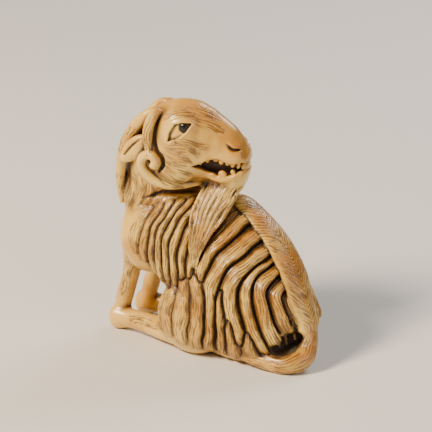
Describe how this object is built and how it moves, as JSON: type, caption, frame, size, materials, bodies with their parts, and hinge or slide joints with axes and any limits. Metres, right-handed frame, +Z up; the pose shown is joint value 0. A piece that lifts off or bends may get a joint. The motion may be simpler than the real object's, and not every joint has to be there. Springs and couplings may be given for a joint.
{
  "type": "carved ivory goat netsuke",
  "caption": "Carved ivory netsuke of a seated shaggy goat that looks back over its left shoulder, with inlaid dark horn pupils and a cord tunnel in its base.",
  "frame": {"origin": "on the resting plane, under the middle of the carving's box", "axes": "+Z up; the goat's chest faces -X and its left flank, with the turned head, faces -Y"},
  "size_m": [0.0428, 0.0244, 0.046],
  "materials": {
    "ivory": "polished, with dark brown stain in the grooves",
    "dark_horn": "gloss"
  },
  "bodies": {
    "root": {"goat": "ivory", "pupil_right": "dark_horn", "pupil_left": "dark_horn"}
  },
  "joints": []
}
